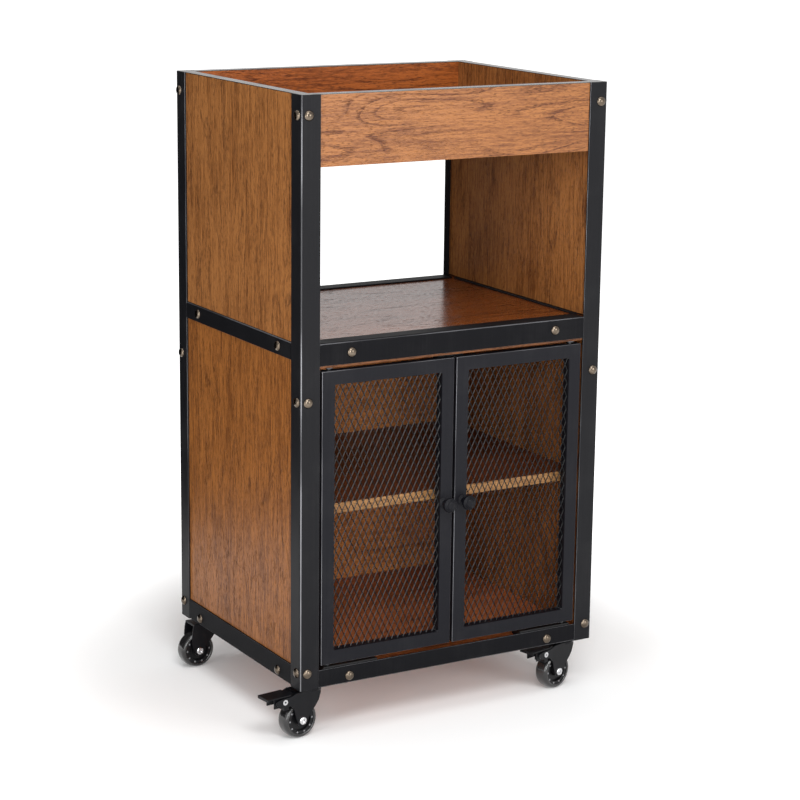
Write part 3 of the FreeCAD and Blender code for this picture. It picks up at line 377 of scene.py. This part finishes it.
# The boards: the grain's axes, a shift that gives each its own figure, and the colours.
PANEL = dict(grain="ZYX", pale=(0.350, 0.140, 0.040), deep=(0.120, 0.038, 0.009), figure=0.16, mottle=1.1)
RED = dict(grain="XYZ", pale=(0.235, 0.062, 0.013), deep=(0.080, 0.018, 0.004), figure=0.30)
BOARDS = {
    "left_upper_panel": dict(PANEL, shift=0.3),
    "left_lower_panel": dict(PANEL, shift=1.7, pale=(0.325, 0.118, 0.027), specular=0.13),
    "right_upper_panel": dict(PANEL, shift=2.9),
    "right_lower_panel": dict(PANEL, shift=4.1, pale=(0.365, 0.134, 0.037)),
    "front_apron": dict(grain="XZY", shift=6.3, pale=(0.318, 0.124, 0.037), deep=(0.120, 0.035, 0.010),
                        figure=0.42, rings=22.0, streaks=0.8, specular=0.3),
    "back_apron": dict(grain="XZY", shift=5.1, pale=(0.36, 0.100, 0.021), deep=(0.13, 0.031, 0.007),
                       figure=0.3),
    "tray_floor": dict(RED, shift=7.4),
    "microwave_shelf": dict(RED, shift=8.8, polish=0.14, specular=0.32, relief=0.00006),
    "bottom_board": dict(grain="XYZ", shift=9.9, pale=(0.54, 0.160, 0.048), deep=(0.23, 0.053, 0.013),
                         figure=0.2),
    "back_panel": dict(grain="XZY", shift=1.3, pale=(0.68, 0.26, 0.075), deep=(0.33, 0.105, 0.027),
                       figure=0.15),
    "inner_shelf": dict(grain="XYZ", shift=2.5, pale=(0.15, 0.036, 0.008), deep=(0.05, 0.010, 0.003),
                        figure=0.2),
    # The header is much darker than the other boards: painted shade for the dark gap above the doors.
    "door_header": dict(grain="XZY", shift=3.1, pale=(0.17, 0.060, 0.017), deep=(0.06, 0.018, 0.005),
                        figure=0.1),
}
EDGE_STRIP = dict(grain="XZY", shift=4.4, pale=(0.41, 0.215, 0.083), deep=(0.28, 0.127, 0.042), figure=0.2)

# Painted steel: colour, roughness, shine.
POST_BLACK = metal_finish("post_black_paint", (0.0076, 0.0076, 0.0090), 0.36, 0.10, streaks=0.08,
                          edge_wear_and_highlight=0.75)
RAIL_BLACK = metal_finish("rail_black_paint", (0.0070, 0.0070, 0.0082), 0.42, 0.03, streaks=0.08,
                          edge_wear_and_highlight=0.45)
DOOR_BLACK = metal_finish("door_black_paint", (0.0068, 0.0068, 0.0092), 0.38, 0.10, streaks=0.08,
                          edge_wear_and_highlight=0.75)
MESH_BLACK = metal_finish("mesh_black_paint", (0.0012, 0.0016, 0.0026), 0.16, 0.13, streaks=0.04)
KNOB_BLACK = metal_finish("knob_black_finish", (0.0024, 0.0024, 0.0044), 0.24, 0.12, streaks=0.1)
CASTOR_BLACK = metal_finish("castor_black_finish", (0.0038, 0.0038, 0.0050), 0.30, 0.18, streaks=0.1,
                            edge_wear_and_highlight=0.3)
# Bare metal, plastics and the band on the tray's boards.
BRIGHT_ZINC = metal_finish("bright_zinc", (0.62, 0.62, 0.63), 0.20, streaks=0.1, metallic=1.0)
DULL_STEEL = metal_finish("dull_pivot_steel", (0.06, 0.06, 0.064), 0.34, streaks=0.2, metallic=1.0)
BLACK_PLASTIC = metal_finish("black_plastic", (0.0055, 0.0055, 0.006), 0.48, specular=0.3, streaks=0.1,
                             bump=0.00008)
CORE_PLASTIC = metal_finish("wheel_core_plastic", (0.0038, 0.0038, 0.0048), 0.26, 0.25, streaks=0.05)
# The wheel pips' pale colour is partly their own and partly a painted glint.
PIP_PLASTIC_AND_GLINT = metal_finish("wheel_pips_painted_glint", (0.20, 0.20, 0.21), 0.26, 0.5, streaks=0.05)
EDGE_BAND = metal_finish("edge_band_finish", (0.022, 0.013, 0.009), 0.22, specular=0.6, streaks=0.4)
BRONZE = bronze_material()
SMOKY_TYRE = tyre_material()


def paint(node, material):
    """Gives a carried-over CAD node its material."""
    slots = frame["nodes"][node].data.materials
    slots.clear()
    slots.append(material)


# ---------------------------------------------------------------- mesh helpers

WELD = 1e-6


def new_piece(name, work, material, smooth_angle=35):
    """Turns a filled bmesh into a shaded object with its material."""
    mesh = bpy.data.meshes.new(name)
    work.to_mesh(mesh)
    work.free()
    mesh.materials.append(material)
    mesh.shade_smooth()
    mesh.set_sharp_from_angle(angle=math.radians(smooth_angle))
    thing = bpy.data.objects.new(name, mesh)
    scene.collection.objects.link(thing)
    flat_faces = thing.modifiers.new("flat_faces_stay_flat", "WEIGHTED_NORMAL")
    flat_faces.keep_sharp = True
    return thing


def dress(thing, node):
    """Puts the piece in the place of a CAD node: same body, and the node is hidden."""
    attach(thing, frame["nodes"][node]["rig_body"])
    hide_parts(node)


def node_mesh(node):
    """A CAD node's mesh with its points joined."""
    work = bmesh.new()
    work.from_mesh(frame["nodes"][node].data)
    bmesh.ops.remove_doubles(work, verts=work.verts, dist=WELD)
    return work


def softened(node, material, width, angle=35):
    """A copy of a CAD node with its sharp edges broken. They and its bends are marked for wear and a
    painted highlight.
    """
    work = node_mesh(node)
    bmesh.ops.dissolve_limit(work, angle_limit=math.radians(0.5), verts=work.verts, edges=work.edges)
    mark = work.faces.layers.float.new(SOFT_EDGE)
    sharp = [edge for edge in work.edges
             if len(edge.link_faces) == 2 and edge.calc_face_angle() > math.radians(angle)]
    bmesh.ops.bevel(work, geom=sharp, offset=width * MM, offset_type="OFFSET", segments=2, profile=0.6,
                    affect="EDGES", clamp_overlap=True)
    work.normal_update()
    for face in work.faces:
        if max(abs(part) for part in face.normal) < BEND_FACING:
            face[mark] = 1.0
    dress(new_piece(f"{node}_dressed", work, material), node)


def lathe(work, profile, place, segments=48, closed=False):
    """Turns a profile of (radius, height) in millimetres about the local Z axis of a placement."""
    rings = []
    for radius, height in profile:
        if radius == 0:
            rings.append([work.verts.new(place @ Vector((0, 0, height * MM)))])
            continue
        ring = []
        for step in range(segments):
            turn = math.tau * step / segments
            spot = Vector((radius * MM * math.cos(turn), radius * MM * math.sin(turn), height * MM))
            ring.append(work.verts.new(place @ spot))
        rings.append(ring)
    pairs = list(zip(rings, rings[1:] + rings[:1])) if closed else list(zip(rings, rings[1:]))
    for first, second in pairs:
        for step in range(segments):
            after = (step + 1) % segments
            corners = [first[step % len(first)], first[after % len(first)],
                       second[after % len(second)], second[step % len(second)]]
            distinct = list(dict.fromkeys(corners))
            if len(distinct) > 2:
                work.faces.new(distinct)


def facing(axis, place):
    """A placement whose Z runs along an axis."""
    return Matrix.Translation(place) @ axis.to_track_quat("Z", "Y").to_matrix().to_4x4()


def islands(node):
    """The separate solids of a CAD node, each as a list of its points."""
    work = node_mesh(node)
    left = set(work.verts)
    found = []
    while left:
        reach = [left.pop()]
        points = []
        while reach:
            vert = reach.pop()
            points.append(vert.co.copy())
            for edge in vert.link_edges:
                other = edge.other_vert(vert)
                if other in left:
                    left.remove(other)
                    reach.append(other)
        found.append(points)
    work.free()
    return found


# ---------------------------------------------------------------- frame and screws

POST_EDGE, RAIL_EDGE = 1.0, 0.8


def dressed_frame():
    for side in ("left", "right"):
        for face in ("front", "back"):
            softened(f"{face}_{side}_post", POST_BLACK, POST_EDGE)
    for side in ("front", "back", "left", "right"):
        for level in ("shelf", "bottom"):
            softened(f"{side}_{level}_rail", RAIL_BLACK, RAIL_EDGE)


# HEAD_RIM tells the head's points from the shank's by their distance from the axis.
HEAD_RADIUS, HEAD_HEIGHT, HEAD_RIM, SHANK_RADIUS = 7.2, 4.2, 7.0, 3.0
HEAD_PROFILE = [(HEAD_RADIUS, 0.0), (HEAD_RADIUS, 0.45), (7.0, 0.95), (6.5, 1.75), (5.75, 2.5), (4.7, 3.2),
                (3.4, 3.75), (1.8, 4.1), (0, HEAD_HEIGHT)]


def screw_heads():
    """Domed heads where the CAD has them, each on its own shank."""
    work = bmesh.new()
    for points in islands("frame_screws"):
        low = Vector([min(p[i] for p in points) for i in range(3)])
        high = Vector([max(p[i] for p in points) for i in range(3)])
        spans = high - low
        centre = (low + high) / 2
        across = next(i for i in range(3) if abs(spans[i] - 2 * HEAD_RADIUS * MM) > 1e-4)
        axis = Vector([1.0 if i == across else 0.0 for i in range(3)])

        def off_axis(point):
            return math.sqrt(sum((point[i] - centre[i]) ** 2 for i in range(3) if i != across))

        head_side = [p[across] for p in points if off_axis(p) > HEAD_RIM * MM]
        if sum(head_side) / len(head_side) < centre[across]:
            axis = -axis
        base = centre.copy()
        tip = high[across] if axis[across] > 0 else low[across]
        base[across] = tip - axis[across] * HEAD_HEIGHT * MM
        shank = spans[across] / MM - HEAD_HEIGHT
        profile = [(0, -shank), (SHANK_RADIUS, -shank), (SHANK_RADIUS, 0.0)] + HEAD_PROFILE
        lathe(work, profile, facing(axis, base), 28)
    dress(new_piece("frame_screw_heads", work, BRONZE, 50), "frame_screws")


# ---------------------------------------------------------------- doors

DOOR_EDGE = 1.5
STRAND_WIDTH, STRAND_THICKNESS, STRAND_TILT = 1.3, 0.6, 31
BOND_WIDTH, BOND_HALF_LENGTH = 1.4, 1.1
MESH_COLUMNS, MESH_ROWS, MESH_MARGIN = 18, 20, 0.9


def strand(work, start, end, tilt, y, width=STRAND_WIDTH):
    """One tilted strand of expanded metal between two points of the door's plane."""
    run = Vector((end[0] - start[0], 0, end[1] - start[1])).normalized()
    flat = Vector((-run.z, 0, run.x))
    turn = math.radians(tilt)
    wide = (flat * math.cos(turn) + BACKWARDS * math.sin(turn)) * width / 2 * MM
    thick = (BACKWARDS * math.cos(turn) - flat * math.sin(turn)) * STRAND_THICKNESS / 2 * MM
    corners = []
    for place in (start, end):
        middle = Vector((place[0], y, place[1]))
        corners.append([work.verts.new(middle + a * wide + b * thick)
                        for a, b in ((-1, -1), (1, -1), (1, 1), (-1, 1))])
    for index in range(4):
        after = (index + 1) % 4
        work.faces.new((corners[0][index], corners[0][after], corners[1][after], corners[1][index]))
    work.faces.new(corners[0][::-1])
    work.faces.new(corners[1])


def expanded_mesh(hand):
    """The door's fine expanded metal: strands that all lean to the left, joined by short bonds."""
    node = f"{hand}_door_mesh"
    low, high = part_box(node)
    y = (low.y + high.y) / 2
    half_width = (high.x - low.x) / MESH_COLUMNS / 2
    half_height = (high.z - low.z) / MESH_ROWS / 2
    bond, margin = BOND_HALF_LENGTH * MM, MESH_MARGIN * MM
    work = bmesh.new()
    for row in range(2 * MESH_ROWS):
        for column in range(2 * MESH_COLUMNS):
            left = low.x + column * half_width
            bottom = low.z + row * half_height
            left, right = max(left, low.x + margin), min(left + half_width, high.x - margin)
            bottom, top = max(bottom, low.z + margin), min(bottom + half_height, high.z - margin)
            if (row + column) % 2:
                strand(work, (left, top), (right, bottom), -STRAND_TILT, y)
                continue
            strand(work, (left, bottom), (right, top), STRAND_TILT, y)
            if row and column:
                strand(work, (left, bottom - bond), (left, bottom + bond), 0, y, BOND_WIDTH)
    dress(new_piece(f"{hand}_expanded_metal", work, MESH_BLACK, 20), node)


# The knob, from the foot's rim to the crown. The stud behind it goes into the door's stile.
KNOB_PROFILE = [(8.2, 0), (8.2, 1.0), (7.6, 1.6), (5.6, 2.2), (4.6, 3.4), (4.3, 6.5), (4.5, 9.5),
                (5.6, 12.0), (8.2, 13.8), (10.2, 15.2), (10.9, 16.9), (11.0, 18.4), (10.7, 19.8),
                (10.0, 20.7), (9.3, 21.0), (8.9, 20.6), (8.4, 20.6), (8.0, 21.2), (6.9, 21.7), (6.5, 21.3),
                (6.1, 21.3), (5.7, 21.9), (3.4, 22.4), (0, 22.6)]
KNOB_STUD_RADIUS = 2.0


def knob(hand):
    node = f"{hand}_door_knob"
    low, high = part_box(node)
    centre = (low + high) / 2
    door_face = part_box(f"{hand}_door_frame")[0].y
    reach = (door_face - low.y) / MM
    grown = reach / KNOB_PROFILE[-1][1]
    stud = (high.y - door_face) / MM
    profile = [(0, -stud), (KNOB_STUD_RADIUS, -stud), (KNOB_STUD_RADIUS, 0)]
    profile += [(radius, height * grown) for radius, height in KNOB_PROFILE]
    work = bmesh.new()
    lathe(work, profile, facing(-BACKWARDS, Vector((centre.x, door_face, centre.z))))
    dress(new_piece(f"{hand}_turned_knob", work, KNOB_BLACK, 40), node)


def dressed_doors():
    for hand in ("left", "right"):
        softened(f"{hand}_door_frame", DOOR_BLACK, DOOR_EDGE)
        expanded_mesh(hand)
        knob(hand)


# ---------------------------------------------------------------- castors

CASTORS = ("front_left", "front_right", "back_left", "back_right")
BRAKED = CASTORS[:2]
FORK_EDGE, PEDAL_EDGE = 0.35, 0.4

# Half of the tyre's section, as (radius, distance from the wheel's middle plane).
TYRE_SIDE = [(27.5, 0), (27.45, 4.5), (27.1, 6.9), (26.4, 8.9), (25.5, 10.2), (24.7, 10.8), (24.3, 10.8),
             (24.0, 11.3), (23.3, 11.45), (22.5, 11.3), (22.1, 10.8), (21.45, 10.6)]
TYRE_PROFILE = [(radius, -out) for radius, out in TYRE_SIDE[:0:-1]] + TYRE_SIDE
PIP_PROFILE = [(0, -1.2), (1.45, -1.2), (1.45, 0.05), (1.2, 0.4), (0.7, 0.6), (0, 0.68)]
PIP_COUNT, PIP_RING, RIM_FACE = 10, 19.1, 9.5

# Each end of the axle bolt is a rivet-like head with a dimple, seated on the fork's cheek.
BOLT_HEAD = [(5.8, 0.0), (5.8, 1.3), (5.3, 1.9), (4.4, 2.3), (3.2, 2.6), (2.8, 2.4), (2.6, 0.2), (0, 0.0)]
BOLT_SEAT, ROD_RADIUS = 14.3, 3.0
BOLT_PROFILE = ([(radius, -BOLT_SEAT - out) for radius, out in BOLT_HEAD[::-1]]
                + [(ROD_RADIUS, -BOLT_SEAT), (ROD_RADIUS, BOLT_SEAT)]
                + [(radius, BOLT_SEAT + out) for radius, out in BOLT_HEAD])


def axle(name):
    """The middle and the direction of a wheel's axle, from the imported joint."""
    joint = next(j for j in frame["joints"] if j["name"] == f"{name}_roll")
    return Vector(joint["pos_m"]), Vector(joint["axis"])


def tyre(name):
    middle, along = axle(name)
    work = bmesh.new()
    lathe(work, TYRE_PROFILE, facing(along, middle), 96, closed=True)
    dress(new_piece(f"{name}_cast_tyre", work, SMOKY_TYRE, 40), f"{name}_tyre")


def wheel_pips(name):
    """The ring of pale moulded pips that fills the small holes on both faces of the wheel core. Their pale
    colour is partly a painted glint.
    """
    middle, along = axle(name)
    level = UP.cross(along).normalized()
    work = bmesh.new()
    for outward in (along, -along):
        for step in range(PIP_COUNT):
            turn = math.tau * step / PIP_COUNT
            spot = (level * math.cos(turn) + UP * math.sin(turn)) * PIP_RING + outward * RIM_FACE
            lathe(work, PIP_PROFILE, facing(outward, middle + spot * MM), 14)
    pips = new_piece(f"{name}_wheel_pips", work, PIP_PLASTIC_AND_GLINT, 40)
    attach(pips, f"{name}_wheel")


def axle_bolt(name):
    middle, along = axle(name)
    work = bmesh.new()
    lathe(work, BOLT_PROFILE, facing(along, middle), 32)
    bolt = new_piece(f"{name}_turned_bolt", work, BRIGHT_ZINC, 40)
    dress(bolt, f"{name}_axle_bolt")


def dressed_castors():
    for name in CASTORS:
        tyre(name)
        wheel_pips(name)
        axle_bolt(name)
        softened(f"{name}_castor_fork", CASTOR_BLACK, FORK_EDGE, 50)
        paint(f"{name}_wheel_core", CORE_PLASTIC)
    for name in BRAKED:
        softened(f"{name}_brake_pedal", CASTOR_BLACK, PEDAL_EDGE, 50)
        paint(f"{name}_brake_rivet", BRIGHT_ZINC)
    paint("castor_stems", CASTOR_BLACK)


# ---------------------------------------------------------------- boards and small fittings

FITTINGS = {
    "top_edge_bands": EDGE_BAND, "shelf_pins": BRIGHT_ZINC, "pivot_blocks": BLACK_PLASTIC,
    "pivot_bushes": DULL_STEEL, "magnetic_catch": BLACK_PLASTIC, "left_door_pivot_pins": DULL_STEEL,
    "right_door_pivot_pins": DULL_STEEL,
}
STRIP_THICKNESS, STRIP_INSET, STRIP_EDGE = 0.5 * MM, 0.4 * MM, 0.2 * MM


def dressed_boards():
    for node, finish in BOARDS.items():
        paint(node, veneer(f"{node}_veneer", **finish))
    for node, material in FITTINGS.items():
        paint(node, material)


def shelf_edge_band():
    """The pale strip ironed on the inner shelf's front edge."""
    low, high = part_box("inner_shelf")
    span = Vector((high.x - low.x - 2 * STRIP_INSET, STRIP_THICKNESS, high.z - low.z - STRIP_INSET))
    middle = Vector(((low.x + high.x) / 2, low.y - STRIP_THICKNESS / 2, (low.z + high.z) / 2))
    work = bmesh.new()
    bmesh.ops.create_cube(work, size=1.0)
    bmesh.ops.scale(work, vec=span, verts=work.verts)
    bmesh.ops.translate(work, vec=middle, verts=work.verts)
    bmesh.ops.bevel(work, geom=work.edges[:], offset=STRIP_EDGE, segments=2, affect="EDGES")
    strip = new_piece("inner_shelf_edge_band", work, veneer("pale_edge_veneer", **EDGE_STRIP))
    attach(strip, "cart")


# ---------------------------------------------------------------- floor, world and lamps

FLOOR_REACH = 40.0
SHADOW_RADIUS, PLAIN_RADIUS = 0.36, 0.95
CARD_MIDDLE, CARD_HALF = Vector((-0.67, 0.67, 0)), Vector((0.863, 0.504, 0)) * 0.82
CARD_FOOT, CARD_TOP = 0.02, 1.3
FRONT_FILL, BACK_FILL = 0.42, 0.12

# Each lamp: azimuth, elevation, distance, width, height, power, and the height that it is aimed at.
LAMPS = {
    "overhead_box": (0, 88, 3.2, 3.0, 3.0, 62, 0.45),
    "key_box": (-28, 13, 3.2, 0.8, 1.5, 36, 0.45),
    "high_front_box": (-18, 42, 3.2, 1.3, 1.0, 46, 0.45),
    "front_box": (21, 10, 3.6, 1.2, 1.2, 30, 0.45),
    "edge_strip": (-62, 0, 2.3, 0.6, 1.4, 14, 0.72),
}


def seen_directly(tree):
    """1 for rays from the camera, from mirrors and through glass."""
    rays = tree.nodes.new("ShaderNodeLightPath").outputs
    either = sums(tree, "MAXIMUM", rays["Is Camera Ray"], rays["Is Glossy Ray"])
    return sums(tree, "MAXIMUM", either, rays["Is Transmission Ray"])


def matt_material(name, shade):
    material, tree, shader = blank_material(name)
    shader.inputs["Base Color"].default_value = (shade, shade, shade, 1)
    shader.inputs["Specular IOR Level"].default_value = 0.0
    return material, tree, shader


def white_floor():
    """A white floor that shows the cart's shadow and stays white far away, where the lamps don't reach."""
    work = bmesh.new()
    corners = [work.verts.new((x * FLOOR_REACH, y * FLOOR_REACH, 0))
               for x, y in ((-1, -1), (1, -1), (1, 1), (-1, 1))]
    work.faces.new(corners)
    material, tree, shader = matt_material("white_floor", 0.86)
    shader.inputs["Roughness"].default_value = 0.9
    shader.inputs["Emission Color"].default_value = (1, 1, 1, 1)
    far = put(tree, "ShaderNodeVectorMath", {"operation": "LENGTH"}, i0=here(tree)).outputs["Value"]
    glow = ramp(tree, far, SHADOW_RADIUS, PLAIN_RADIUS, 0.08, 1.0)
    tree.links.new(sums(tree, "MULTIPLY", seen_directly(tree), glow), shader.inputs["Emission Strength"])
    new_piece("studio_floor", work, material)


def black_card():
    """A dark card that only reflections see, behind the cart on the left. Its foot clears the floor."""
    work = bmesh.new()
    corners = [work.verts.new(CARD_MIDDLE + CARD_HALF * side + UP * z)
               for side, z in ((-1, CARD_FOOT), (1, CARD_FOOT), (1, CARD_TOP), (-1, CARD_TOP))]
    work.faces.new(corners)
    material, _, shader = matt_material("black_card", 0.01)
    shader.inputs["Roughness"].default_value = 1.0
    card = new_piece("studio_card", work, material)
    card.visible_camera = card.visible_diffuse = False
    card.visible_shadow = card.visible_transmission = False


def studio_world():
    """Soft light, stronger from the front. The camera and reflections see plain white."""
    world = bpy.data.worlds.new("studio")
    scene.world = world
    world.use_nodes = True
    tree = world.node_tree
    way = tree.nodes.new("ShaderNodeTexCoord").outputs["Generated"]
    backwards = put(tree, "ShaderNodeSeparateXYZ", Vector=way).outputs[1]
    soft = ramp(tree, backwards, -0.6, 0.6, FRONT_FILL, BACK_FILL)
    lift = sums(tree, "MULTIPLY", seen_directly(tree), sums(tree, "SUBTRACT", 1.0, soft))
    background = tree.nodes["Background"]
    background.inputs["Color"].default_value = (1, 1, 1, 1)
    tree.links.new(sums(tree, "ADD", soft, lift), background.inputs["Strength"])


photo_camera()
dressed_frame()
screw_heads()
dressed_boards()
shelf_edge_band()
dressed_doors()
dressed_castors()
white_floor()
black_card()
studio_world()
for lamp_name, setting in LAMPS.items():
    soft_box(lamp_name, *setting)
scene.view_settings.view_transform = "Standard"
